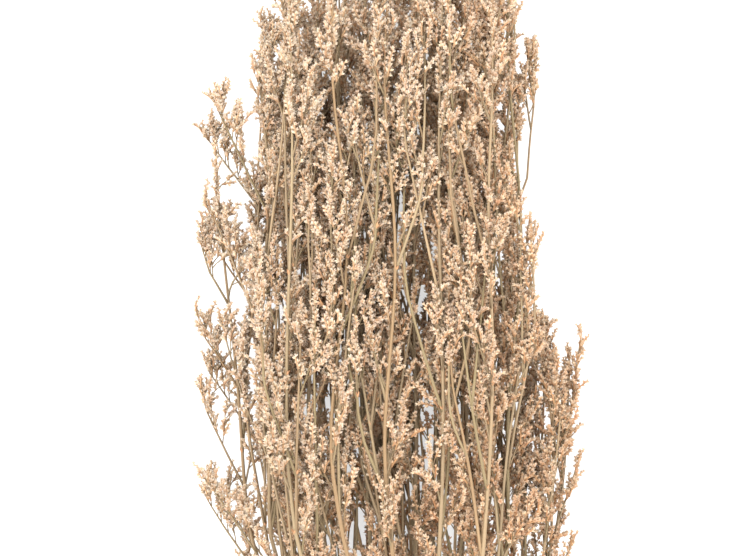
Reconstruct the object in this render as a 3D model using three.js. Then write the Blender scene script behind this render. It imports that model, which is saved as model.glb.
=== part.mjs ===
// A bunch of dried statice lying on its side: 29 sprays held by one rubber band near their cut ends.
// X runs across the bunch, Y from the cut ends to the flower tips, and Z up from the surface it lies on.
// Each spray is a woody stem and the flower head that grows round its upper part.
import * as THREE from "three";

const { lerp, clamp, seededRandom } = THREE.MathUtils;

// ---- Driving dimensions, in millimetres ----

const bunchLength = 700; // lowest cut end to highest tip
const bandHeight = 110; // lowest cut end to the middle of the rubber band
const spreadLength = 230; // band to where the sprays reach their full spacing
const plumeSway = 16; // how far the flowers lie to the left of the band
const leftStrayOffset = 2; // how much further out the one outermost spray on the left stands
const leftStrayLean = 26; // and how much more it would lean out by the height of the tallest tip
const rightStrayOffset = 18;
const rightStrayLean = 14;
const layerCounts = [5, 6, 7, 6, 5]; // sprays in each layer, from the surface up
const headPitchX = 28; // between the heads of one layer
const headPitchZ = 25; // between layers of heads
const headGap = 1; // between neighbouring heads
const headBase = 205; // lowest cut end to where the heads begin
const headBaseVariation = 40;
const headWall = 1; // least thickness of a head round its stem
const headBaseFill = 0.25; // share of its room that a head fills where it begins
const headFullFrom = 0.3; // shares of its length between which it fills all of it
const headFullTo = 0.7;
const headBluntFrom = 0.96; // share of its length where its rounded tip begins
const headFillZ = 0.56; // half-height over layer spacing; above 0.57, heads of staggered layers would meet
const leftDrop = 150; // how far the outermost tips on the left stop short of the middle ones
const rightDrop = 80;
const shortSprayDrop = 150; // further drop of the one spray at the right-hand edge
const tipVariation = 34;

const stemRadius = 1.7; // at the cut end and under the band
const stemTipRadius = 0.7;
const stemGap = 0.5; // between neighbouring stems under the band
const stemReach = 0.86; // share of a head's length that its stem runs up inside
const stemClearance = 0.4; // round a stem inside its head
const cutVariation = 9; // difference between the cut ends
const cutFlare = 1.35; // spacing at the cut ends over spacing under the band

const bandWidth = 10;
const bandThickness = 1.8;
const bandClearance = 0.35; // between the band and the outer stems
const bandLift = 1.5; // between the band and the surface

const stemSides = 6;
const headSides = 8;
const chanceSeed = 11;

// ---- Places worked out from them ----

const cutY = -bunchLength / 2;
const topY = bunchLength / 2;
const bandY = cutY + bandHeight;
const bandLowerY = bandY - bandWidth / 2;
const bandUpperY = bandY + bandWidth / 2;
const fullY = bandUpperY + spreadLength;

// Stems pack under the band as round rods do, each layer sunk between the rods of the next.
const stemPitchX = 2 * stemRadius + stemGap;
const stemPitchZ = stemPitchX * Math.sin(Math.PI / 3);
const middleLayer = (layerCounts.length - 1) / 2;
const outerColumn = (Math.max(...layerCounts) - 1) / 2;

// Centre lines of the lowest layer above the surface, at the heads and under the band.
const headFoot = headFillZ * headPitchZ - headGap / 2;
const bandFoot = bandLift + bandThickness + bandClearance + stemRadius;

// How far the sprays have spread: 0 under the band and 1 at full spacing.
function spreadAt(y) {
  return Math.sin((Math.PI / 2) * clamp((y - bandUpperY) / spreadLength, 0, 1));
}

function flareAt(y) {
  return lerp(1, cutFlare, clamp((bandLowerY - y) / (bandLowerY - cutY), 0, 1));
}

// Where the middle column stands, how far the outermost sprays stray, the spacing across
// and between layers, and how high the lowest layer runs.
function spacingAt(y) {
  const spread = spreadAt(y);
  const flare = flareAt(y);
  const lean = Math.max(0, (y - fullY) / (topY - fullY));
  const footBelow = lerp(bandFoot, stemRadius, clamp((bandLowerY - y) / (bandLowerY - cutY), 0, 1));
  return {
    middleX: -plumeSway * spread,
    leftStray: leftStrayOffset * spread + leftStrayLean * lean,
    rightStray: rightStrayOffset * spread + rightStrayLean * lean,
    pitchX: lerp(stemPitchX * flare, headPitchX, spread),
    pitchZ: lerp(stemPitchZ * flare, headPitchZ, spread),
    foot: y < bandLowerY ? footBelow : lerp(bandFoot, headFoot, spread),
  };
}

// Every spray bends at these same stations, so that neighbours keep their distance between them.
const stations = [
  cutY,
  bandLowerY,
  bandUpperY,
  ...[0.2, 0.4, 0.6, 0.8, 1].map((share) => bandUpperY + share * spreadLength),
  ...[1 / 3, 2 / 3, 1].map((share) => lerp(fullY, topY, share)),
];

// Spacing between two stations runs straight from one to the other.
function straightSpacingAt(y) {
  const upper = clamp(stations.findIndex((station) => station >= y), 1, stations.length - 1);
  const [below, above] = [stations[upper - 1], stations[upper]];
  const share = (y - below) / (above - below);
  const [low, high] = [spacingAt(below), spacingAt(above)];
  return Object.fromEntries(Object.keys(low).map((key) => [key, lerp(low[key], high[key], share)]));
}

// A spray's centre line, and the width and height of the room it has.
function placeAt(spray, y) {
  const { middleX, leftStray, rightStray, pitchX, pitchZ, foot } = straightSpacingAt(y);
  const strays = { [-outerColumn]: -leftStray, [outerColumn]: rightStray };
  return {
    x: middleX + spray.column * pitchX + (strays[spray.column] ?? 0),
    z: foot + spray.layer * pitchZ,
    width: pitchX,
    height: 2 * headFillZ * pitchZ,
  };
}

// ---- The sprays: where each one stands, is cut, starts to flower and ends ----

seededRandom(chanceSeed);
const sprays = layerCounts.flatMap((count, layer) =>
  Array.from({ length: count }, (_, place) => {
    const column = place - (count - 1) / 2;
    const edgeDrop = column < 0 ? leftDrop : rightDrop;
    const shortDrop = column === outerColumn ? shortSprayDrop : 0;
    const drop = edgeDrop * (column / outerColumn) ** 2 + shortDrop + tipVariation * seededRandom();
    return {
      column,
      layer,
      drop,
      cutRise: cutVariation * seededRandom(),
      baseRise: headBaseVariation * seededRandom(),
    };
  }),
);
const leastDrop = Math.min(...sprays.map((spray) => spray.drop));
const leastRise = Math.min(...sprays.map((spray) => spray.cutRise));
for (const [index, spray] of sprays.entries()) {
  spray.number = String(index + 1).padStart(2, "0");
  spray.tipY = topY - (spray.drop - leastDrop);
  spray.cutY = cutY + spray.cutRise - leastRise;
  spray.baseY = cutY + headBase + spray.baseRise;
  spray.stemEndY = lerp(spray.baseY, spray.tipY, stemReach);
}

// ---- Solids ----

// A closed solid of elliptical rings round a spray's centre line, from the first ring to the last.
function turnedAlong(spray, rings, sides) {
  const outline = rings.map((ring) => new THREE.Vector2(ring.radiusX > 0 ? 1 : 0, ring.y));
  const geometry = new THREE.LatheGeometry(outline, sides);
  const position = geometry.getAttribute("position");
  for (let i = 0; i < position.count; i++) {
    const ring = rings[i % rings.length];
    const centre = placeAt(spray, ring.y);
    const x = centre.x + position.getX(i) * ring.radiusX;
    const z = centre.z + position.getZ(i) * ring.radiusZ;
    position.setXYZ(i, x, ring.y, z);
  }
  geometry.computeVertexNormals();
  return geometry;
}

function stationsBetween(low, high) {
  const least = 4; // closer rings would only add slivers
  return [low, ...stations.filter((y) => y > low + least && y < high - least), high];
}

function stemRadiusAt(spray, y) {
  return lerp(stemRadius, stemTipRadius, clamp((y - bandUpperY) / (spray.stemEndY - bandUpperY), 0, 1));
}

function stemGeometry(spray) {
  const rings = stationsBetween(spray.cutY, spray.stemEndY).map((y) => {
    const radius = stemRadiusAt(spray, y);
    return { y, radiusX: radius, radiusZ: radius };
  });
  const cutFace = { y: spray.cutY, radiusX: 0, radiusZ: 0 };
  const topFace = { y: spray.stemEndY, radiusX: 0, radiusZ: 0 };
  return turnedAlong(spray, [cutFace, ...rings, topFace], stemSides);
}

// How much of its cell a head fills, from its base at 0 to its tip at 1.
function headFill(share) {
  if (share < headFullFrom) return lerp(headBaseFill, 1, share / headFullFrom);
  if (share < headFullTo) return 1;
  return Math.sqrt(1 - ((share - headFullTo) / (1 - headFullTo)) ** 2);
}

function headGeometry(spray) {
  const { baseY, tipY, stemEndY } = spray;
  const shareAt = (y) => (y - baseY) / (tipY - baseY);
  const boreRadiusAt = (y) => (stemRadiusAt(spray, y) + stemClearance) / Math.cos(Math.PI / headSides);

  const outer = stationsBetween(baseY, lerp(baseY, tipY, headBluntFrom)).map((y) => {
    const { width, height } = placeAt(spray, y);
    const least = boreRadiusAt(y) + headWall;
    const fill = headFill(shareAt(y));
    return {
      y,
      radiusX: lerp(least, (width - headGap) / 2, fill),
      radiusZ: lerp(least, (height - headGap) / 2, fill),
    };
  });
  const bore = stationsBetween(baseY, stemEndY + stemClearance).map((y) => {
    const radius = boreRadiusAt(y);
    return { y, radiusX: radius, radiusZ: radius };
  });
  const boreEnd = { y: stemEndY + stemClearance, radiusX: 0, radiusZ: 0 };
  const tip = { y: tipY, radiusX: 0, radiusZ: 0 };
  return turnedAlong(spray, [boreEnd, ...bore.reverse(), ...outer, tip], headSides);
}

// Six arcs round the corner stems, joined by straight runs, as a stretched band lies.
function bandOutline(path, radius) {
  const endX = ((layerCounts[0] - 1) / 2) * stemPitchX;
  const middleX = outerColumn * stemPitchX;
  const endZ = middleLayer * stemPitchZ;
  const corners = [
    [endX, -endZ],
    [middleX, 0],
    [endX, endZ],
    [-endX, endZ],
    [-middleX, 0],
    [-endX, -endZ],
  ];
  const sixth = Math.PI / 3;
  for (const [i, [x, z]] of corners.entries()) {
    const start = i * sixth - Math.PI / 2;
    path.absarc(x, z, radius, start, start + sixth, false);
  }
  path.closePath();
  return path;
}

function bandGeometry() {
  const innerRadius = stemRadius + bandClearance;
  const outline = bandOutline(new THREE.Shape(), innerRadius + bandThickness);
  outline.holes.push(bandOutline(new THREE.Path(), innerRadius));
  const geometry = new THREE.ExtrudeGeometry(outline, {
    depth: bandWidth,
    bevelEnabled: false,
    curveSegments: 3,
  });
  const { foot, pitchZ } = spacingAt(bandY);
  geometry.rotateX(Math.PI / 2);
  geometry.translate(0, bandUpperY, foot + middleLayer * pitchZ);
  return geometry;
}

// ---- Materials and assembly ----

const stemMaterial = new THREE.MeshStandardMaterial({ color: "#ad9566", roughness: 0.75, metalness: 0 });
const headMaterial = new THREE.MeshStandardMaterial({ color: "#b8946f", roughness: 0.95, metalness: 0 });
const bandMaterial = new THREE.MeshStandardMaterial({ color: "#c2965a", roughness: 0.55, metalness: 0 });

function named(name, geometry, material) {
  const mesh = new THREE.Mesh(geometry, material);
  mesh.name = name;
  return mesh;
}

const bunch = new THREE.Group();
for (const spray of sprays) {
  bunch.add(named(`stem_${spray.number}`, stemGeometry(spray), stemMaterial));
  bunch.add(named(`flower_head_${spray.number}`, headGeometry(spray), headMaterial));
}
bunch.add(named("rubber_band", bandGeometry(), bandMaterial));

// The origin is under the middle of the bunch, on the surface.
const box = new THREE.Box3().setFromObject(bunch);
const middle = box.getCenter(new THREE.Vector3());
bunch.position.set(-middle.x, -middle.y, -box.min.z);

export default bunch;
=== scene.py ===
"""A bunch of dried statice lying on a pale floor, seen from straight above.

Every spray grows round its CAD stem: a main stem, long forks, side branches and twigs,
and on the twigs curved one-sided spikes of tiny papery flowers.
"""

import math
import random

import bmesh
import bpy
import numpy as np
from mathutils import Matrix, Vector
from mathutils.geometry import convex_hull_2d


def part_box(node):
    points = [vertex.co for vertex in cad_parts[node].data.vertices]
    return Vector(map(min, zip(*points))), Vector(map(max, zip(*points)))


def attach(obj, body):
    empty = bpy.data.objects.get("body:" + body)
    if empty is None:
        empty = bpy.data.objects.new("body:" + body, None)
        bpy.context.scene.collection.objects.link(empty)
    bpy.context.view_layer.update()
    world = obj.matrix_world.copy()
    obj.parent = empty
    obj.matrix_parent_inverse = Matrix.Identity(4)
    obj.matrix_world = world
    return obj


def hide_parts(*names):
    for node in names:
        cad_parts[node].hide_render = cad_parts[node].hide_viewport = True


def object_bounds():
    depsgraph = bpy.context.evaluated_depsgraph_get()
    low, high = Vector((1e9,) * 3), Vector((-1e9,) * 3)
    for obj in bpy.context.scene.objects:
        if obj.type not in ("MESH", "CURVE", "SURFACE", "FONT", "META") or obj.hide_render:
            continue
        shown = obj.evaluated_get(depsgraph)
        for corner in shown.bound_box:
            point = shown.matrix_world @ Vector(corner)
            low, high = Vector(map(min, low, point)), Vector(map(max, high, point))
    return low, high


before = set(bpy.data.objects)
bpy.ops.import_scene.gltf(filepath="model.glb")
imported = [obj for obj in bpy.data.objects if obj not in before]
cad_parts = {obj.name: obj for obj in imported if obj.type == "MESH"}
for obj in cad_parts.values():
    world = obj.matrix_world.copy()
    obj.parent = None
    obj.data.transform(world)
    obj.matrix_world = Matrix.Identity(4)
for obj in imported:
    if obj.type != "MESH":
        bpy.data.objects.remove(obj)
cad_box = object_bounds()

MM = 0.001
TIPWARD = Vector((0, 1, 0))  # the way the sprays grew
SEED = 20

# ---- Sizes of the plant, in metres ----

FLOWER_LENGTH = 1.8 * MM  # from foot to rim
FLOWER_RADIUS = 1.12 * MM  # at the rim of the cup
LOBES = 5
LOBE_REACH = 0.3 * MM  # lobes beyond the rim, outwards
LOBE_RISE = 0.95 * MM  # and upwards
CUP_DEPTH = 0.9 * MM
FLOWER_SPACING = 1.4 * MM  # along a spike
FLOWER_SIZES = (0.88, 1.15)
SPIKE_LENGTHS = (6 * MM, 11.5 * MM)
SPIKE_RADIUS = 0.75 * MM  # of the stalk with its overlapping bracts
SPIKE_GAP = 3.15 * MM  # between spikes along a branch
TWIG_LENGTHS = (6 * MM, 13 * MM)
TWIG_RADIUS = 0.35 * MM
TWIG_TIP = 0.28 * MM  # radius at the upper end, as for the other tips
TWIG_SHARE = 0.55  # of the spikes at the foot of a branch that stand on a twig
BRANCH_LENGTHS = (26 * MM, 62 * MM)
BRANCH_RADIUS = 0.65 * MM
BRANCH_TIP = 0.35 * MM
BRANCH_GAP = 43 * MM  # between branches along a stem or fork
LEAST_BRANCH = 12 * MM  # none is cut shorter than this to fit
FORK_LENGTHS = (110 * MM, 230 * MM)
SECOND_FORK_LENGTHS = (60 * MM, 120 * MM)  # of forks that leave a fork
FORK_TIP = 0.5 * MM
FORK_SHARE = 0.86  # thickness of a fork over that of the stem it leaves
FORK_COUNT = 5
LEFT_FORK_COUNT = 2  # on the leftmost spray
STEM_SHARE = 1.05  # thickness of a stem over that of its CAD node
LEAST_STEM = 0.7 * MM  # radius
STRAY_LENGTHS = (60 * MM, 105 * MM)
STRAY_REACH = 9 * MM  # how far strays may grow past the room of the other branches
STRAY_RADIUS = 0.8 * MM
STRAY_TIP = 0.4 * MM
STRAY_TWIGS = 5  # on each stray
STRAY_TWIG_LENGTHS = (10 * MM, 26 * MM)
STRAY_SPRAYS = 3  # the sprays at the left edge, which bear strays
STRAY_COUNT = 4  # on each of them
UNDERSIDE_GAP = 3.5  # spacing of branches there over that in the upper third
LEFT_STRAY_GAP = 3.0  # the same for the leftmost spray
RIGHT_STRAY_GAP = 0.5  # and for the rightmost
TIP_MARGIN = 42 * MM  # how far branches may grow past the tip of their own flower head
LEFT_STRAY_MARGIN = 12 * MM  # the same for the leftmost spray
RIGHT_STRAY_MARGIN = -30 * MM  # and for the rightmost, which ends short of it
RIGHT_STRAY_REACH = 4 * MM  # how far the rightmost spray may grow past the room of the others

# Angles, in degrees, from the line that each one leaves
FORK_ANGLES = (11, 22)
BRANCH_ANGLES = (15, 32)
TWIG_ANGLES = (25, 45)
STUB_ANGLES = (25, 50)
STRAY_ANGLES = (24, 40)
SPIKE_ANGLES = (16, 40)
SIDE_SPIKE_ANGLES = (25, 45)  # half-way up a twig
END_SPIKE_ANGLES = (0, 12)
SPIKE_BENDS = (5, 55)
FLOWER_LEANS = (28, 64)
FLOWER_ROLLS = (5, 105)

BRACT_LENGTH = 5 * MM  # of the dry scale leaf under each fork
STUB_LENGTHS = (5 * MM, 24 * MM)
STUB_COUNT = 3  # broken twigs on each bare stem

BAND_NODE = "rubber_band"
BAND_TURNS = 3
STRAND_WIDTH = 3.0 * MM
STRAND_THICKNESS = 1.0 * MM

FLOOR_CLEARANCE = 5 * MM  # between a branch and the floor
OUTSIDE = 1 * MM  # how far branches may grow past the CAD model's box
SPRAY_REACH = 22 * MM  # from the centre line of their own spray, where they are turned back
EDGE_REACH = 21 * MM  # of the plume's straight sides, from the last spray but one at each side
NEAR_SURFACE = 6 * MM  # outer stems lie this much further out than the middle of their heads
INSIDE_DEPTH = 43 * MM  # how deep in the bunch flowers are hidden
INSIDE_SHARE = 0.3  # of the branches that still grow there
UNDERSIDE_DEPTH = 2.2  # how many times a height over the floor counts as depth


# ---- Small helpers ----

def between(limits, chance):
    return limits[0] + (limits[1] - limits[0]) * chance.random()


def lerp(a, b, share):
    return a + (b - a) * share


def any_way(chance):
    """A direction with no bias."""
    return Vector([chance.gauss(0, 1) for _ in range(3)]).normalized()


def aside(direction, around, angle):
    """The direction turned away from itself by angle, towards the side given by around."""
    direction = direction.normalized()
    first = direction.orthogonal().normalized()
    second = direction.cross(first)
    side = first * math.cos(around) + second * math.sin(around)
    return direction * math.cos(angle) + side * math.sin(angle)


def axes_along(direction, upper):
    """A turn that takes +Y to direction and +Z as near to upper as it can."""
    y = direction.normalized()
    x = y.cross(upper)
    if x.length < 1e-4:
        x = y.orthogonal()
    x.normalize()
    z = x.cross(y)
    return Matrix((x, y, z)).transposed().to_4x4()


# ---- The frame: where each spray's stem and head run ----

def rings(node):
    """The CAD node's rings from the cut end up, as (y, middle x, middle z, width, height)."""
    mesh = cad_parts[node].data
    points = np.array([v.co for v in mesh.vertices], float).reshape(-1, 3)
    found = []
    for y in np.unique(np.round(points[:, 1], 4)):
        ring = points[np.abs(points[:, 1] - y) < 1e-4]
        low, high = ring.min(0), ring.max(0)
        middle, size = (low + high) / 2, high - low
        found.append((y, middle[0], middle[2], size[0], size[2]))
    return np.array(found)


class Spray:
    """One stem and its flower head, as the CAD model places them."""

    def __init__(self, number):
        self.number = number
        self.stem_node = f"stem_{number}"
        self.head_node = f"flower_head_{number}"
        self.stem = rings(self.stem_node)
        head = rings(self.head_node)
        self.base_y, self.tip_y = head[0, 0], head[-1, 0]
        self.chance = random.Random(SEED * 1000 + int(number))

    def centre(self, y):
        """The stem's centre line, which runs straight on past its upper end."""
        ys, xs, zs = self.stem[:, 0], self.stem[:, 1], self.stem[:, 2]
        beyond = max(0.0, y - ys[-1]) / (ys[-1] - ys[-2])
        x = np.interp(y, ys, xs) + beyond * (xs[-1] - xs[-2])
        z = np.interp(y, ys, zs) + beyond * (zs[-1] - zs[-2])
        return Vector((x, y, z))

    def radius(self, y):
        return float(np.interp(y, self.stem[:, 0], self.stem[:, 3])) / 2


sprays = [Spray(name[-2:]) for name in sorted(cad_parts) if name.startswith("stem_")]
low_corner, high_corner = Vector(cad_box[0]), Vector(cad_box[1])
room_low = Vector((low_corner.x - OUTSIDE, low_corner.y, FLOOR_CLEARANCE))
room_high = Vector((high_corner.x + OUTSIDE, high_corner.y + OUTSIDE, high_corner.z + OUTSIDE))
by_place = sorted(sprays, key=lambda spray: spray.centre(0).x)
left_stray, right_stray = by_place[0], by_place[-1]
plume_left = by_place[1].centre(0).x - EDGE_REACH
plume_right = by_place[-2].centre(0).x + EDGE_REACH


def depth_at(place):
    """How far inside the bunch a place lies, from its top and sides. Its underside counts as thinner."""
    sideways = min(place.x - plume_left, plume_right - place.x)
    return max(0.0, min(high_corner.z - place.z, UNDERSIDE_DEPTH * place.z, sideways))


# ---- Camera, light and floor ----

def aim(thing, place, target, upper=TIPWARD):
    thing.location = place
    back = (Vector(place) - Vector(target)).normalized()
    right = Vector(upper).cross(back).normalized()
    thing.rotation_euler = Matrix((right, back.cross(right), back)).transposed().to_euler()


def add_camera():
    data = bpy.data.cameras.new("camera")
    data.sensor_width = 36
    view_width = 0.449  # across, where the upper layer of flowers lies
    distance = 1.5
    data.lens = data.sensor_width * distance / view_width
    camera = bpy.data.objects.new("camera", data)
    bpy.context.scene.collection.objects.link(camera)
    middle_x = (by_place[1].centre(0).x + by_place[-2].centre(0).x) / 2
    leftward, tipward, upper_layer = 9.5 * MM, 0.103, 0.8
    seen = Vector((middle_x - leftward, tipward, high_corner.z * upper_layer))
    aim(camera, seen + Vector((0, 0, distance)), seen)
    bpy.context.scene.camera = camera


def add_area_light(name, place, target, size, power, colour=(1, 1, 1)):
    data = bpy.data.lights.new(name, "AREA")
    data.shape = "DISK"
    data.size = size
    data.energy = power
    data.color = colour
    light = bpy.data.objects.new(name, data)
    bpy.context.scene.collection.objects.link(light)
    aim(light, place, target, upper=(0.3, 0.9, 0.2))


SKY_STRENGTH = 3.5
KEY_POWER = 17
FILL_POWER = 2
FLOOR_GREY = 0.35
FLOOR_GLOW = 0.6


def add_lights():
    world = bpy.data.worlds.new("studio")
    bpy.context.scene.world = world
    world.use_nodes = True
    background = world.node_tree.nodes["Background"]
    background.inputs["Color"].default_value = (1.0, 0.98, 0.965, 1)
    background.inputs["Strength"].default_value = SKY_STRENGTH
    middle = Vector((0, 0.1, 0.05))
    add_area_light("key", (-0.7, 1.1, 1.2), middle, 0.9, KEY_POWER, (1.0, 0.99, 0.97))
    add_area_light("fill", (0.9, 0.2, 1.9), middle, 1.6, FILL_POWER)


def add_floor():
    """A floor that glows a little, so that it stays pale under the bunch."""
    bm = bmesh.new()
    bmesh.ops.create_grid(bm, x_segments=1, y_segments=1, size=6)
    mesh = bpy.data.meshes.new("floor")
    bm.to_mesh(mesh)
    bm.free()
    floor = bpy.data.objects.new("floor", mesh)
    bpy.context.scene.collection.objects.link(floor)
    material = bpy.data.materials.new("pale floor")
    material.use_nodes = True
    shader = material.node_tree.nodes["Principled BSDF"]
    shader.inputs["Base Color"].default_value = (FLOOR_GREY, FLOOR_GREY, FLOOR_GREY, 1)
    shader.inputs["Roughness"].default_value = 0.9
    shader.inputs["Emission Color"].default_value = (1, 1, 1, 1)
    shader.inputs["Emission Strength"].default_value = FLOOR_GLOW
    mesh.materials.append(material)


add_camera()
add_lights()
add_floor()
bpy.context.scene.view_settings.view_transform = "Standard"


# ---- Materials ----
# Flowers and branches take their pattern from a map of square tiles, TILES by TILES. Along a tile's
# height runs a flower from its foot to the tips of its lobes, or a branch from thick to thin.
# A tile's column is a variant, and its row a tone, from dark to light; on flowers the row's tone is
# painted shade and painted light.

TILES = 8
TILE_MARGIN = 0.06
RIBS = 5  # across a flower tile
STALK_SHARE = 0.14  # lowest part of a flower tile, which spikes' stalks use
PATTERN_MAP = "pattern"
BAKE_MAP = "OFBake"


def node(tree, kind, inputs=None, **settings):
    made = tree.nodes.new("ShaderNode" + kind)
    for key, value in settings.items():
        setattr(made, key, value)
    for key, value in (inputs or {}).items():
        if isinstance(value, bpy.types.NodeSocket):
            tree.links.new(value, made.inputs[key])
        else:
            made.inputs[key].default_value = value
    return made


def maths(tree, operation, *values):
    return node(tree, "Math", dict(enumerate(values)), operation=operation).outputs[0]


def ramp(tree, factor, stops):
    made = node(tree, "ValToRGB", {"Fac": factor})
    elements = made.color_ramp.elements
    while len(elements) < len(stops):
        elements.new(0.5)
    for element, (place, colour) in zip(elements, stops):
        element.position = place
        element.color = (*colour, 1)
    return made.outputs["Color"]


def multiplied(tree, first, second, share=1.0):
    """The first colour times the second, as far as the share says."""
    made = node(tree, "Mix", data_type="RGBA", blend_type="MULTIPLY")
    made.inputs[0].default_value = share
    tree.links.new(first, made.inputs[6])
    tree.links.new(second, made.inputs[7])
    return made.outputs[2]


def srgb(*levels):
    """A colour given as 0 to 255 levels of sRGB."""
    shares = [level / 255 for level in levels]
    return tuple(c / 12.92 if c <= 0.04045 else ((c + 0.055) / 1.055) ** 2.4 for c in shares)


def new_material(name, roughness):
    material = bpy.data.materials.new(name)
    material.use_nodes = True
    shader = material.node_tree.nodes["Principled BSDF"]
    shader.inputs["Roughness"].default_value = roughness
    shader.inputs["Specular IOR Level"].default_value = 0.25
    return material, material.node_tree, shader


def tile_parts(tree):
    """The place within a tile, across and up, and the tile's column and row as shares of the map."""
    uv = node(tree, "UVMap", uv_map=PATTERN_MAP).outputs["UV"]
    split = node(tree, "SeparateXYZ", {0: uv})
    across = maths(tree, "MULTIPLY", split.outputs[0], TILES)
    up = maths(tree, "MULTIPLY", split.outputs[1], TILES)
    column = maths(tree, "DIVIDE", maths(tree, "FLOOR", across), TILES - 1)
    row = maths(tree, "DIVIDE", maths(tree, "FLOOR", up), TILES - 1)
    return uv, maths(tree, "FRACT", across), maths(tree, "FRACT", up), column, row


def flower_material():
    material, tree, shader = new_material("dried petals", 0.88)
    uv, across, up, column, row = tile_parts(tree)
    # From a browner foot to a pale, greyer rim: partly the flower's own colour, partly painted shade, as
    # the foot sits in the shade between flowers.
    along = ramp(tree, up, [
        (0.0, srgb(160, 133, 105)),
        (STALK_SHARE, srgb(161, 135, 108)),
        (0.35, srgb(178, 155, 130)),
        (0.6, srgb(183, 164, 143)),
        (0.85, srgb(179, 171, 160)),
        (1.0, srgb(174, 172, 169)),
    ])
    hue = ramp(tree, column, [
        (0.0, (1.0, 0.94, 0.9)),
        (0.3, (1.0, 1.0, 0.96)),
        (0.55, (1.0, 0.97, 0.88)),
        (0.8, (0.94, 0.95, 0.92)),
        (1.0, (0.96, 0.87, 0.81)),
    ])
    # Painted shade and painted light: low rows darken and redden flowers deep in the bunch, high rows
    # lighten the outer, tipward, left ones.
    tone = ramp(tree, row, [
        (0.0, (0.88, 0.67, 0.52)),
        (0.5, (0.96, 0.88, 0.81)),
        (1.0, (1.0, 1.02, 1.05)),
    ])
    coloured = multiplied(tree, multiplied(tree, along, hue), tone)
    noise = {"Vector": uv, "Scale": 46.0, "Detail": 3.0, "Roughness": 0.6}
    mottle = node(tree, "TexNoise", noise).outputs["Fac"]
    spots = ramp(tree, mottle, [
        (0.3, (0.74, 0.69, 0.64)),
        (0.52, (1, 1, 1)),
        (0.75, (1.1, 1.09, 1.07)),
    ])
    tree.links.new(multiplied(tree, coloured, spots, 0.8), shader.inputs["Base Color"])
    rough = node(tree, "MapRange", {"Value": mottle, "To Min": 0.78, "To Max": 0.98}).outputs[0]
    tree.links.new(rough, shader.inputs["Roughness"])
    ribs = maths(tree, "SINE", maths(tree, "MULTIPLY", across, RIBS * 2 * math.pi))
    height = maths(tree, "ADD", ribs, mottle)
    bump = node(tree, "Bump", {"Height": height, "Strength": 0.35, "Distance": 0.0001})
    tree.links.new(bump.outputs[0], shader.inputs["Normal"])
    return material


def bark_material():
    material, tree, shader = new_material("straw bark", 0.62)
    uv, across, up, column, row = tile_parts(tree)
    stretched = node(tree, "Mapping", {"Vector": uv, "Scale": (60.0, 7.0, 1.0)}).outputs[0]
    streaks = node(tree, "TexNoise", {"Vector": stretched, "Scale": 4.0, "Detail": 4.0}).outputs["Fac"]
    bark = ramp(tree, streaks, [
        (0.28, srgb(108, 92, 70)),
        (0.45, srgb(134, 116, 91)),
        (0.6, srgb(149, 131, 104)),
        (0.8, srgb(163, 146, 119)),
    ])
    hue = ramp(tree, column, [
        (0.0, (0.9, 0.94, 0.84)),
        (0.4, (1, 1, 1)),
        (0.8, (1, 0.96, 0.92)),
        (1.0, (1, 0.9, 0.8)),
    ])
    tone = ramp(tree, row, [(0.0, (0.5, 0.47, 0.44)), (1.0, (1.06, 1.06, 1.06))])
    coloured = multiplied(tree, multiplied(tree, bark, hue), tone)
    tree.links.new(coloured, shader.inputs["Base Color"])
    rough = node(tree, "MapRange", {"Value": streaks, "To Min": 0.5, "To Max": 0.8}).outputs[0]
    tree.links.new(rough, shader.inputs["Roughness"])
    bump = node(tree, "Bump", {"Height": streaks, "Strength": 0.5, "Distance": 0.0003})
    tree.links.new(bump.outputs[0], shader.inputs["Normal"])
    return material


def rubber_material():
    """Aged natural rubber, with fine lines along the strand and a dull bloom."""
    material, tree, shader = new_material("aged rubber", 0.6)
    place = node(tree, "TexCoord").outputs["Object"]
    bloom = node(tree, "TexNoise", {"Vector": place, "Scale": 260.0, "Detail": 4.0}).outputs["Fac"]
    lined = node(tree, "Mapping", {"Vector": place, "Scale": (60.0, 2400.0, 60.0)}).outputs[0]
    lines = node(tree, "TexNoise", {"Vector": lined, "Scale": 1.0, "Detail": 2.0}).outputs["Fac"]
    aged = ramp(tree, bloom, [
        (0.3, srgb(122, 86, 46)),
        (0.5, srgb(141, 103, 60)),
        (0.7, srgb(156, 122, 80)),
    ])
    shade = ramp(tree, lines, [(0.35, (0.82, 0.8, 0.78)), (0.6, (1, 1, 1))])
    tree.links.new(multiplied(tree, aged, shade, 0.7), shader.inputs["Base Color"])
    rough = node(tree, "MapRange", {"Value": bloom, "To Min": 0.45, "To Max": 0.75}).outputs[0]
    tree.links.new(rough, shader.inputs["Roughness"])
    bump = node(tree, "Bump", {"Height": lines, "Strength": 0.4, "Distance": 0.0002})
    tree.links.new(bump.outputs[0], shader.inputs["Normal"])
    return material


petals = flower_material()
bark = bark_material()
rubber = rubber_material()


# ---- Meshes ----

def as_mesh(bm, name):
    mesh = bpy.data.meshes.new(name)
    bm.to_mesh(mesh)
    bm.free()
    return mesh


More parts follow.
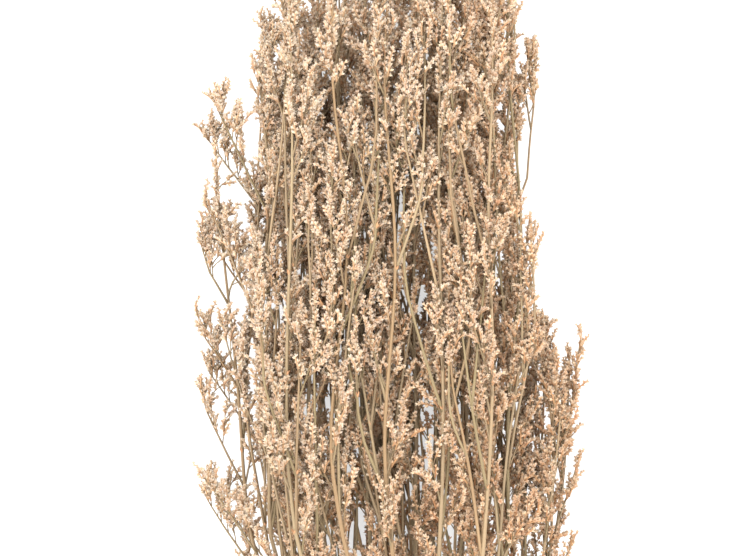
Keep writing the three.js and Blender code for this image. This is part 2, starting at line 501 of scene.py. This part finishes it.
def flower():
    """One flower pointing up +Y from its foot at the origin: a five-lobed cup on a tapering tube."""
    bm = bmesh.new()
    bmesh.ops.create_cone(
        bm, cap_ends=True, cap_tris=True, segments=LOBES,
        radius1=0, radius2=FLOWER_RADIUS, depth=FLOWER_LENGTH,
    )
    bmesh.ops.remove_doubles(bm, verts=bm.verts, dist=1e-7)
    bmesh.ops.translate(bm, verts=bm.verts, vec=(0, 0, FLOWER_LENGTH / 2))
    hub = min(bm.verts, key=lambda v: v.co.xy.length - v.co.z)
    hub.co.z -= CUP_DEPTH
    rim = [e for e in bm.edges if all(v.co.z > FLOWER_LENGTH - CUP_DEPTH / 2 for v in e.verts)]
    split = bmesh.ops.subdivide_edges(bm, edges=rim, cuts=1)["geom_inner"]
    for lobe in (v for v in split if isinstance(v, bmesh.types.BMVert)):
        outward = lobe.co.xy.normalized() * (FLOWER_RADIUS + LOBE_REACH)
        lobe.co = (outward.x, outward.y, FLOWER_LENGTH + LOBE_RISE)
    # Cut down the middle of each lobe. Cut along the rim, the cup and the tube would share faces there.
    bmesh.ops.triangulate(bm, faces=bm.faces, quad_method="LONG_EDGE")
    bmesh.ops.recalc_face_normals(bm, faces=bm.faces)
    bmesh.ops.rotate(bm, verts=bm.verts, matrix=Matrix.Rotation(-math.pi / 2, 3, "X"))
    return as_mesh(bm, "flower")


def tubes(name, lines, sides):
    """One mesh of closed tapering tubes. Each line is (points, radii, variant)."""
    curve = bpy.data.curves.new(name, "CURVE")
    curve.dimensions = "3D"
    curve.bevel_depth = 1.0
    curve.bevel_resolution = (sides - 4) // 2
    curve.use_fill_caps = True
    for _ in range(TILES):
        curve.materials.append(None)
    for points, radii, variant in lines:
        spline = curve.splines.new("POLY")
        spline.points.add(len(points) - 1)
        spline.points.foreach_set("co", [part for point in points for part in (*point, 1)])
        spline.points.foreach_set("radius", radii)
        spline.material_index = variant
    holder = bpy.data.objects.new(name, curve)
    mesh = bpy.data.meshes.new_from_object(holder)
    bpy.data.objects.remove(holder)
    bpy.data.curves.remove(curve)
    return mesh


def paint_map(mesh, local, columns, rows):
    """Gives the mesh its two maps: each corner's place within a tile, and the tile it lies in."""
    places = TILE_MARGIN + (1 - 2 * TILE_MARGIN) * np.clip(local, 0, 1)
    places = (places + np.stack([columns, rows], 1)) / TILES
    for layer in list(mesh.uv_layers):
        mesh.uv_layers.remove(layer)
    for name in (BAKE_MAP, PATTERN_MAP):
        mesh.uv_layers.new(name=name).data.foreach_set("uv", places.astype(np.float32).ravel())


def corner_values(mesh):
    """The vertex and the face that each corner of the mesh belongs to."""
    vertex = np.zeros(len(mesh.loops), np.int32)
    mesh.loops.foreach_get("vertex_index", vertex)
    sizes = np.zeros(len(mesh.polygons), np.int32)
    mesh.polygons.foreach_get("loop_total", sizes)
    return vertex, np.repeat(np.arange(len(sizes)), sizes)


def places_of(mesh):
    points = np.zeros(len(mesh.vertices) * 3, np.float32)
    mesh.vertices.foreach_get("co", points)
    return points.reshape(-1, 3)


def tube_local(mesh):
    """Where each corner of a tube lies within a tile: its far side across, and its length up."""
    flat = np.zeros(len(mesh.loops) * 2, np.float32)
    mesh.uv_layers[0].data.foreach_get("uv", flat)
    along, around = flat.reshape(-1, 2).T
    return np.stack([1 - np.abs(2 * around - 1), along], 1)


def paint_tubes(mesh, tone):
    """Maps tubes so that each runs up its variant's tile, in rows round the given tone."""
    variants = np.zeros(len(mesh.polygons), np.int32)
    mesh.polygons.foreach_get("material_index", variants)
    mesh.polygons.foreach_set("material_index", np.zeros(len(variants), np.int32))
    column = variants[corner_values(mesh)[1]]
    row = np.clip(tone + column % 3 - 1, 0, TILES - 1)
    paint_map(mesh, tube_local(mesh), column, row)


# ---- Spikes: the curved, one-sided rows of flowers ----

SPIKE_SHAPES = 10
TONES = 6  # each spike shape is made in this many tones, from shaded to sunlit


def spike_line(length, bend):
    """A stalk that leaves along +Y and bends over towards -Z."""
    steps = 2
    points, place = [Vector((0, 0, 0))], Vector((0, 0, 0))
    for step in range(steps):
        heading = bend * (step + 0.5) / steps
        place = place + Vector((0, math.cos(heading), -math.sin(heading))) * (length / steps)
        points.append(place)
    return points


def along_line(points, share):
    at = min(max(share, 0), 0.9999) * (len(points) - 1)
    first = int(at)
    step = points[first + 1] - points[first]
    return points[first] + step * (at - first), step.normalized()


def spike_stalk(points, column, row):
    radii = np.linspace(SPIKE_RADIUS, SPIKE_RADIUS * 0.5, len(points))
    stalk = tubes("stalk", [(points, radii, 0)], 4)
    local = tube_local(stalk) * (1, STALK_SHARE)
    paint_map(stalk, local, np.full(len(local), column), np.full(len(local), row))
    return stalk


def flower_local(pattern):
    """Where each corner of a flower lies within its tile."""
    places = places_of(pattern)[corner_values(pattern)[0]]
    reach = places[:, 1] / (FLOWER_LENGTH + LOBE_RISE)
    sideways = places[:, 0] / (FLOWER_RADIUS + LOBE_REACH) / 2
    return np.stack([0.5 + sideways, STALK_SHARE + 0.04 + (0.96 - STALK_SHARE) * reach], 1)


def bract_mesh():
    """A scale leaf is shaped as a flower is, drawn out to a point and dark."""
    leaf = flower()
    local = flower_local(leaf) * (1, 0.45)
    paint_map(leaf, local, np.full(len(local), TILES - 1), np.full(len(local), 1))
    length = BRACT_LENGTH / (FLOWER_LENGTH + LOBE_RISE)
    leaf.transform(Matrix.Diagonal((0.95, length, 0.95, 1)))
    return leaf


def spike(tone, chance):
    """Flowers round the upper side of a bent stalk, smaller towards its end."""
    length = between(SPIKE_LENGTHS, chance)
    points = spike_line(length, math.radians(between(SPIKE_BENDS, chance)))
    bm = bmesh.new()
    stalk = spike_stalk(points, chance.randrange(TILES), tone)
    bm.from_mesh(stalk)
    bmesh.ops.remove_doubles(bm, verts=bm.verts, dist=1e-7)
    bmesh.ops.triangulate(bm, faces=bm.faces)
    bpy.data.meshes.remove(stalk)

    pattern = flower()
    local = flower_local(pattern)
    count = int(length / FLOWER_SPACING)
    for i in range(count):
        share = (i + 0.5 + 0.3 * (chance.random() - 0.5)) / count
        place, heading = along_line(points, share)
        upper = (Vector((0, 0, 1)) - heading * heading.z).normalized()
        side = heading.cross(upper).normalized() * (1 if i % 2 else -1)
        lean = math.radians(between(FLOWER_LEANS, chance)) * (1 - 0.6 * share ** 3)
        roll = math.radians(between(FLOWER_ROLLS, chance))
        outward = upper * math.cos(roll) + side * math.sin(roll)
        turn = axes_along(heading * math.cos(lean) + outward * math.sin(lean), any_way(chance))
        size = between(FLOWER_SIZES, chance) * lerp(1.08, 0.85, share ** 2)
        copy = pattern.copy()
        copy.transform(Matrix.Translation(place) @ turn @ Matrix.Scale(size, 4))
        row = min(max(tone + chance.choice((0, 1, 1, 2)), 0), TILES - 1)
        paint_map(copy, local, np.full(len(local), chance.randrange(TILES)), np.full(len(local), row))
        bm.from_mesh(copy)
        bpy.data.meshes.remove(copy)
    bpy.data.meshes.remove(pattern)
    return as_mesh(bm, f"spike {tone}")


template_chance = random.Random(SEED)
spikes = [[spike(tone, template_chance) for _ in range(SPIKE_SHAPES)] for tone in range(TONES)]
bract_leaf = bract_mesh()


# ---- Growth ----

LOOK_AHEAD = 2.5  # steps


def kept_in(heading, ahead, spray, free_side):
    """Turns a heading back where it would leave the spray's room. Its free side has only the bunch's."""
    offset = ahead - spray.centre(ahead.y)
    gently, firmly = 0.12, 0.25
    left_end = room_low.x - STRAY_REACH if free_side < 0 else plume_left
    right_end = room_high.x + RIGHT_STRAY_REACH if spray is right_stray else plume_right
    push = Vector((0, 0, 0))
    if abs(offset.x) > SPRAY_REACH and offset.x * free_side <= 0 and offset.x * heading.x > 0:
        push.x = -math.copysign(gently, offset.x)
    if abs(offset.z) > SPRAY_REACH and offset.z * heading.z > 0:
        push.z = -math.copysign(gently, offset.z)
    if ahead.x < left_end or ahead.x > right_end:
        push.x = math.copysign(firmly, -ahead.x)
    if ahead.z < room_low.z or ahead.z > room_high.z:
        push.z = math.copysign(firmly, room_low.z + 1 * MM - ahead.z)
    return (heading + push).normalized()


def grown(spray, start, heading, length, step, lift, wander, free_side=0):
    """Points of a branch that bends tipward by lift at each step, wanders, and keeps within its room."""
    points, heading = [start.copy()], heading.normalized()
    for _ in range(max(2, round(length / step))):
        heading = (heading + TIPWARD * lift + any_way(spray.chance) * wander).normalized()
        heading = kept_in(heading, points[-1] + heading * step * LOOK_AHEAD, spray, free_side)
        points.append(points[-1] + heading * step)
    return points


def taper(thick, thin, count):
    return [lerp(thick, thin, i / (count - 1)) for i in range(count)]


class Growth:
    """What one spray carries: its branches as lines, and where its spikes sit."""

    def __init__(self, spray):
        self.spray = spray
        self.chance = spray.chance
        self.thick, self.thin, self.spikes, self.bracts = [], [], [], []
        middle = spray.centre((spray.base_y + spray.tip_y) / 2)
        self.outward = Vector((
            (middle.x - (plume_left + plume_right) / 2) / (plume_right - plume_left),
            0,
            (middle.z - high_corner.z / 2) / high_corner.z,
        ))
        gaps = {left_stray: LEFT_STRAY_GAP, right_stray: RIGHT_STRAY_GAP}
        margins = {left_stray: LEFT_STRAY_MARGIN, right_stray: RIGHT_STRAY_MARGIN}
        self.ceiling = min(spray.tip_y + margins.get(spray, TIP_MARGIN), high_corner.y - LEAST_BRANCH)
        height = middle.z / high_corner.z
        underside = lerp(UNDERSIDE_GAP, 1, min(1, height / 0.67))
        self.branch_gap = BRANCH_GAP * gaps.get(spray, underside)
        self.shift = self.outward.normalized() * NEAR_SURFACE * min(1, self.outward.length * 3)

    def variant(self):
        return self.chance.randrange(TILES)

    def fitting(self, length, place):
        """The length, cut to end below the top of the spray."""
        return max(LEAST_BRANCH, min(length, self.ceiling - place.y))

    def turned(self, heading, angles):
        """Turned away from the line it leaves, and mostly not towards the outside of the bunch."""
        tries = 3 if self.chance.random() < 0.7 else 1
        angle = math.radians(between(angles, self.chance))
        ways = [aside(heading, self.chance.random() * 2 * math.pi, angle) for _ in range(tries)]
        return min(ways, key=self.outward.dot)

    def turned_flat(self, heading, angles):
        """Turned away from the line it leaves, along the face of the bunch."""
        angle = math.radians(between(angles, self.chance))
        ways = [aside(heading, self.chance.random() * 2 * math.pi, angle) for _ in range(4)]
        return min(ways, key=lambda way: abs(self.outward.dot(way)))

    def turned_anywhere(self, heading, angles):
        """Turned away from the line it leaves, to any side."""
        around = self.chance.random() * 2 * math.pi
        return aside(heading, around, math.radians(between(angles, self.chance)))

    def main_stem(self):
        spray, chance = self.spray, self.chance
        end = lerp(spray.base_y, self.ceiling, 0.9)
        count = 36
        swing, turn = between((2 * MM, 6 * MM), chance), chance.random() * 2 * math.pi
        wave, start = between((0.14, 0.3), chance), spray.base_y - 0.06
        self.main = []
        for i in range(count):
            y = lerp(spray.stem[0, 0], end, i / (count - 1))
            grown_in = min(1, max(0, (y - start) / 0.15))
            phase = 2 * math.pi * (y - start) / wave
            sway = Vector((math.cos(turn), 0, math.sin(turn) * 0.4)) * swing * math.sin(phase)
            self.main.append(spray.centre(y) + (sway + self.shift) * grown_in)
        self.main_radii = [max(STEM_SHARE * spray.radius(p.y), LEAST_STEM) for p in self.main]
        self.thick.append((self.main, self.main_radii, self.variant()))

    def fork(self, line, share, radius, lengths=FORK_LENGTHS):
        """A long branch nearly as thick as the stem it leaves."""
        place, heading = along_line(line, share)
        length = self.fitting(between(lengths, self.chance), place)
        start = self.turned_flat(heading, FORK_ANGLES)
        points = grown(self.spray, place, start, length, step=9 * MM, lift=0.03, wander=0.025)
        radii = taper(radius * FORK_SHARE, FORK_TIP, len(points))
        self.thick.append((points, radii, self.variant()))
        self.bract(line, share)
        return points

    def branch(self, line, share):
        place, heading = along_line(line, share)
        start = self.turned(heading, BRANCH_ANGLES)
        length = self.fitting(between(BRANCH_LENGTHS, self.chance), place)
        points = grown(self.spray, place, start, length, step=6 * MM, lift=0.06, wander=0.05)
        self.thin.append((points, taper(BRANCH_RADIUS, BRANCH_TIP, len(points)), self.variant()))
        return points

    def bract(self, line, share):
        """The dry scale leaf that clasps a stem where a side branch leaves it."""
        place, heading = along_line(line, share)
        self.bracts.append((place, (heading + any_way(self.chance) * 0.35).normalized()))

    def stub(self, share):
        """What is left of a twig that broke off the bare part of the stem."""
        place, heading = along_line(self.main, share)
        start = self.turned_anywhere(heading, STUB_ANGLES)
        length = between(STUB_LENGTHS, self.chance)
        points = grown(self.spray, place, start, length, step=4 * MM, lift=0.06, wander=0.08)
        self.thin.append((points, taper(TWIG_RADIUS * 1.6, TWIG_RADIUS, len(points)), self.variant()))
        self.bract(self.main, share)

    def twig(self, line, share, longer):
        place, heading = along_line(line, share)
        start = self.turned_anywhere(heading, TWIG_ANGLES)
        length = between(TWIG_LENGTHS, self.chance) * longer
        points = grown(self.spray, place, start, length, step=4 * MM, lift=0.05, wander=0.1)
        self.thin.append((points, taper(TWIG_RADIUS, TWIG_TIP, len(points)), self.variant()))
        return points

    def stray(self, share):
        """A thin side stem that leans far out to the left, bare below and in flower above."""
        place, _ = along_line(self.main, share)
        lean = math.radians(between(STRAY_ANGLES, self.chance))
        heading = Vector((-math.sin(lean), math.cos(lean), 0.15 * self.chance.gauss(0, 1)))
        reach = place.x - (room_low.x - STRAY_REACH)
        length = min(between(STRAY_LENGTHS, self.chance), reach / math.sin(lean))
        points = grown(
            self.spray, place, heading, length, step=6 * MM, lift=0.012, wander=0.03, free_side=-1
        )
        self.thin.append((points, taper(STRAY_RADIUS, STRAY_TIP, len(points)), self.variant()))
        for number in range(STRAY_TWIGS):
            self.stray_twig(points, number)
        self.clothe(points, 0.85)

    def stray_twig(self, line, number):
        """One of the flowering twigs up a stray, shorter towards its tip."""
        along = (number + 0.6 * self.chance.random()) / STRAY_TWIGS
        start, heading = along_line(line, lerp(0.42, 0.95, along))
        way = heading + TIPWARD * 0.8 + Vector((0.35, 0, 0)) + any_way(self.chance) * 0.3
        length = between(STRAY_TWIG_LENGTHS, self.chance) * lerp(1.1, 0.6, number / (STRAY_TWIGS - 1))
        twig = grown(
            self.spray, start, way.normalized(), length, step=4 * MM, lift=0.06, wander=0.06, free_side=-1
        )
        self.thin.append((twig, taper(TWIG_RADIUS, TWIG_TIP, len(twig)), self.variant()))
        self.clothe(twig, 0.2)

    def spike_at(self, line, share, angles, size):
        place, heading = along_line(line, share)
        lean = math.radians(between(angles, self.chance))
        heading = aside(heading, self.chance.random() * 2 * math.pi, lean)
        heading = (heading + TIPWARD * 0.4).normalized()
        upper = (TIPWARD * 0.5 + any_way(self.chance)).normalized()
        self.spikes.append((place, heading, upper, size))

    def clothe(self, line, first):
        """Spikes and short twigs of spikes from the share first on, smaller towards the tip."""
        length = sum((b - a).length for a, b in zip(line, line[1:]))
        count = max(2, round(length * (1 - first) / SPIKE_GAP))
        for i in range(count):
            along = (i + 0.7 * self.chance.random()) / count
            share = lerp(first, 1, along)
            size = lerp(1.08, 0.8, along)
            if self.chance.random() < TWIG_SHARE * (1 - along):
                twig = self.twig(line, share, lerp(1.2, 0.6, along))
                self.spike_at(twig, 1, END_SPIKE_ANGLES, size)
                self.spike_at(twig, 0.5, SIDE_SPIKE_ANGLES, size)
            else:
                self.spike_at(line, share, SPIKE_ANGLES, size)
        self.spike_at(line, 1, END_SPIKE_ANGLES, 0.85)

    def dress(self, line, first, crowding):
        """Branches along a stem or fork, closer together in its lower part if crowding is above 1, and
        spikes round its last part. Fewer where nobody sees them."""
        length = sum((b - a).length for a, b in zip(line, line[1:]))
        count = max(2, round(length * (1 - first) * crowding / self.branch_gap))
        for i in range(count):
            share = lerp(first, 0.94, ((i + self.chance.random()) / count) ** crowding)
            place = along_line(line, share)[0]
            buried = depth_at(place) > INSIDE_DEPTH and self.spray.tip_y - place.y > 2 * INSIDE_DEPTH
            if not buried or self.chance.random() < INSIDE_SHARE:
                self.clothe(self.branch(line, share), 0.22)
        self.clothe(line, lerp(first, 1, 0.8))

    def grow(self):
        self.main_stem()
        low = (self.spray.base_y - self.main[0].y) / (self.main[-1].y - self.main[0].y)
        carriers = [(self.main, low, 1.5)]
        count = LEFT_FORK_COUNT if self.spray is left_stray else FORK_COUNT
        for i in range(count):
            share = lerp(low - 0.06, 0.74, (i + self.chance.random()) / count)
            radius = self.main_radii[int(share * (len(self.main) - 1))]
            fork = self.fork(self.main, share, radius)
            carriers.append((fork, 0.22, 1.0))
            if self.chance.random() < 0.6:
                along = between((0.25, 0.5), self.chance)
                second = self.fork(fork, along, radius * FORK_SHARE, SECOND_FORK_LENGTHS)
                carriers.append((second, 0.22, 1.0))
        for line, first, crowding in carriers:
            self.dress(line, first, crowding)
        band_top = (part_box(BAND_NODE)[1][1] - self.main[0].y) / (self.main[-1].y - self.main[0].y)
        for _ in range(STUB_COUNT):
            self.stub(lerp(band_top + 0.03, low, self.chance.random()))
        if self.spray in by_place[:STRAY_SPRAYS]:
            for i in range(STRAY_COUNT):
                self.stray(lerp(low, 0.88, (i + 0.3 + 0.4 * self.chance.random()) / STRAY_COUNT))


def pressed(mesh):
    """Flattens what reaches down to the floor, as flowers that lie on it are."""
    points = places_of(mesh)
    soft, least, give = 3.5 * MM, 0.25 * MM, 1.6
    low = points[:, 2] < soft
    depth = (soft - points[low, 2]) / soft
    points[low, 2] = least + (soft - least) * np.exp(-give * depth)
    mesh.vertices.foreach_set("co", points.ravel())
    mesh.update()


def show(mesh, name, material, replaced):
    mesh.name = name
    mesh.materials.clear()
    mesh.materials.append(material)
    piece = bpy.data.objects.new(name, mesh)
    bpy.context.scene.collection.objects.link(piece)
    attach(piece, "root")
    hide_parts(replaced)


# Painted shade and painted light for the flowers' tone; only the spread is tone that differs at random.
PAINTED_SHADE_BY_DEPTH = (4.6, 2.1)  # from the surface inwards
PAINTED_LIGHT_BY_HEIGHT = (-2.2, 1.9)  # from the cut ends to the tips
PAINTED_LIGHT_BY_SIDE = (1.0, -1.7)  # from left to right
TONE_SPREAD = 0.7


def tone_and_painted_light_at(place, chance):
    """Painted shade and painted light: darker inside the bunch, lighter on its outside, towards its tips
    and on its left, where the key light falls, plus a random spread of tone.
    """
    inside = min(1, depth_at(place) / INSIDE_DEPTH)
    height = (place.y - low_corner.y) / (high_corner.y - low_corner.y)
    across = (place.x - plume_left) / (plume_right - plume_left)
    tone = lerp(*PAINTED_SHADE_BY_DEPTH, inside) + lerp(*PAINTED_LIGHT_BY_HEIGHT, height) + lerp(*PAINTED_LIGHT_BY_SIDE, across)
    tone += chance.gauss(0, TONE_SPREAD)
    return int(min(max(tone, 0), TONES - 1))


THICK_TONE = 4
THIN_TONE = 3


def branch_mesh(growth):
    """The spray's stem, forks, branches and twigs, as one mesh of closed tubes."""
    thick = tubes("thick", growth.thick, sides=8)
    thin = tubes("thin", growth.thin, sides=4)
    paint_tubes(thick, THICK_TONE)
    paint_tubes(thin, THIN_TONE)
    bm = bmesh.new()
    for mesh in (thick, thin):
        bm.from_mesh(mesh)
        bpy.data.meshes.remove(mesh)
    bmesh.ops.remove_doubles(bm, verts=bm.verts, dist=1e-7)
    bmesh.ops.triangulate(bm, faces=bm.faces)
    return as_mesh(bm, "branches")


def flower_mesh(growth):
    """The spray's spikes of flowers and its scale leaves."""
    bm = bmesh.new()
    for place, heading, upper, size in growth.spikes:
        # Each spike takes the lit or shaded copy for its place: painted light and painted shade.
        tone = tone_and_painted_light_at(place, growth.chance)
        copy = growth.chance.choice(spikes[tone]).copy()
        copy.transform(Matrix.Translation(place) @ axes_along(heading, upper) @ Matrix.Scale(size, 4))
        bm.from_mesh(copy)
        bpy.data.meshes.remove(copy)
    for place, heading in growth.bracts:
        copy = bract_leaf.copy()
        copy.transform(Matrix.Translation(place) @ axes_along(heading, any_way(growth.chance)))
        bm.from_mesh(copy)
        bpy.data.meshes.remove(copy)
    return as_mesh(bm, "flowers")


def add_spray(spray):
    growth = Growth(spray)
    growth.grow()
    branches = branch_mesh(growth)
    pressed(branches)
    show(branches, f"spray_{spray.number}_branches", bark, spray.stem_node)
    flowers = flower_mesh(growth)
    pressed(flowers)
    show(flowers, f"spray_{spray.number}_flowers", petals, spray.head_node)


def band_ring():
    """Places in X and Z round the outside of the CAD band, in order."""
    points = places_of(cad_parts[BAND_NODE].data)[:, (0, 2)]
    around = convex_hull_2d([Vector(point) for point in points])
    return [Vector(points[i]) for i in around]


def along_ring(ring, share):
    """The place at a share of the way round a closed ring, by length."""
    sides = [(b - a).length for a, b in zip(ring, ring[1:] + ring[:1])]
    left = (share % 1) * sum(sides)
    for start, end, side in zip(ring, ring[1:] + ring[:1], sides):
        if left <= side:
            return start.lerp(end, left / side)
        left -= side
    return ring[0]


def add_band():
    """One strand of rubber wound BAND_TURNS times, that crosses back over itself to close."""
    ring = band_ring()
    low, high = (Vector(corner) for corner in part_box(BAND_NODE))
    middle = (low + high) / 2
    half = (high.y - low.y - STRAND_WIDTH) / 2
    chance = random.Random(SEED)
    crossing, count = 0.22, 40 * BAND_TURNS
    curve = bpy.data.curves.new("strand", "CURVE")
    curve.dimensions = "3D"
    curve.fill_mode = "FULL"
    curve.bevel_depth = STRAND_THICKNESS / 2
    curve.bevel_resolution = 2
    curve.extrude = (STRAND_WIDTH - STRAND_THICKNESS) / 2
    spline = curve.splines.new("POLY")
    spline.points.add(count - 1)
    spline.use_cyclic_u = True
    wander = 0.0
    for i, point in enumerate(spline.points):
        turn = i * BAND_TURNS / count
        back = max(0, (turn - BAND_TURNS + crossing) / crossing)
        wander = 0.8 * wander + 0.1 * MM * chance.gauss(0, 1)
        spread = min(1, turn / (BAND_TURNS - crossing)) * 2 - 1
        y = middle.y + half * lerp(spread, -1, back ** 2 * (3 - 2 * back)) + wander
        flat = along_ring(ring, turn)
        inward = (Vector((middle.x, middle.z)) - flat).normalized()
        lifted = math.sin(math.pi * back) * STRAND_THICKNESS * 1.05
        flat = flat + inward * (STRAND_THICKNESS * 1.3 - lifted)
        point.co = (flat.x, y, flat.y, 1)
    holder = bpy.data.objects.new("strand", curve)
    mesh = bpy.data.meshes.new_from_object(holder)
    bpy.data.objects.remove(holder)
    show(mesh, "wound_rubber_band", rubber, BAND_NODE)


add_band()
for spray in sprays:
    add_spray(spray)
